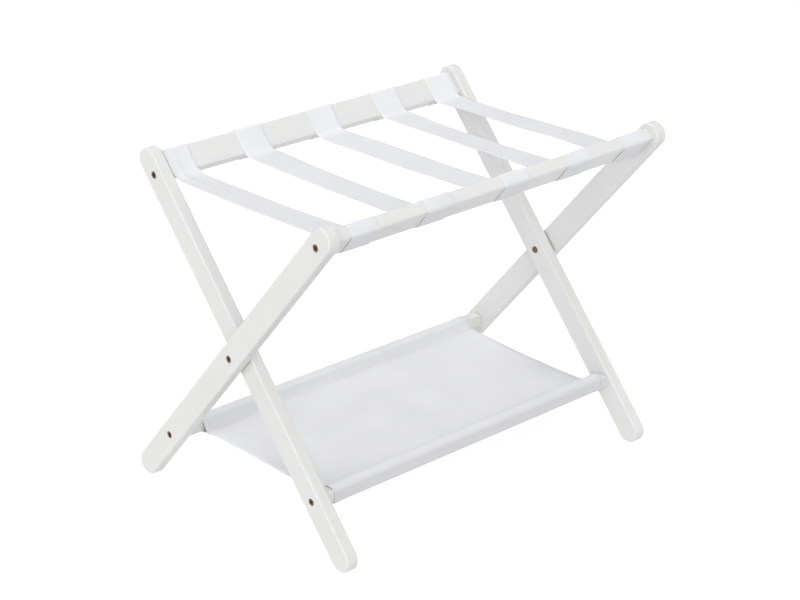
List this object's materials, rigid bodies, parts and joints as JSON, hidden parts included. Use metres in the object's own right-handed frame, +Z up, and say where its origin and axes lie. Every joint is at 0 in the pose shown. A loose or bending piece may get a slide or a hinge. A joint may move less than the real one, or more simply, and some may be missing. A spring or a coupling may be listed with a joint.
{
  "type": "folding luggage bench",
  "caption": "Folding hotel luggage bench: crossed wooden legs on a pivot, webbing straps between the top rails and a cloth shelf between the lower rails.",
  "frame": {"origin": "on the floor, midway between the feet, straight below the pivot axis", "axes": "+X along the rails, -Y to the front (the side of the outer frame's top rail), +Z up; the bench is open"},
  "size_m": [0.66, 0.4596, 0.5196],
  "materials": {
    "painted_wood": "satin white paint over wood",
    "webbing": "plain woven white webbing",
    "shelf_fabric": "plain woven white cloth",
    "bronzed_hardware": "dark bronzed",
    "white_nylon": "matte moulded",
    "staple_wire": "galvanised wire"
  },
  "bodies": {
    "outer_frame": {"outer_leg_left": "painted_wood", "outer_leg_right": "painted_wood", "front_top_rail": "painted_wood", "rear_lower_rail": "painted_wood", "front_top_rail_screws": "bronzed_hardware", "rear_lower_rail_screws": "bronzed_hardware", "pivot_bolts": "bronzed_hardware", "pivot_nuts": "bronzed_hardware", "pivot_washers": "white_nylon", "strap_1": "webbing", "strap_2": "webbing", "strap_3": "webbing", "strap_4": "webbing", "strap_5": "webbing", "front_strap_staples": "staple_wire", "shelf_cloth": "shelf_fabric"},
    "inner_frame": {"inner_leg_left": "painted_wood", "inner_leg_right": "painted_wood", "rear_top_rail": "painted_wood", "front_lower_rail": "painted_wood", "rear_top_rail_screws": "bronzed_hardware", "front_lower_rail_screws": "bronzed_hardware", "rear_strap_staples": "staple_wire"}
  },
  "joints": [
    {"name": "fold", "type": "hinge", "parent": "outer_frame", "child": "inner_frame", "pos_m": [0, 0, 0.262], "axis": [1, 0, 0], "range_deg": [0, 72], "deforming": ["strap_1", "strap_2", "strap_3", "strap_4", "strap_5", "shelf_cloth"]}
  ]
}
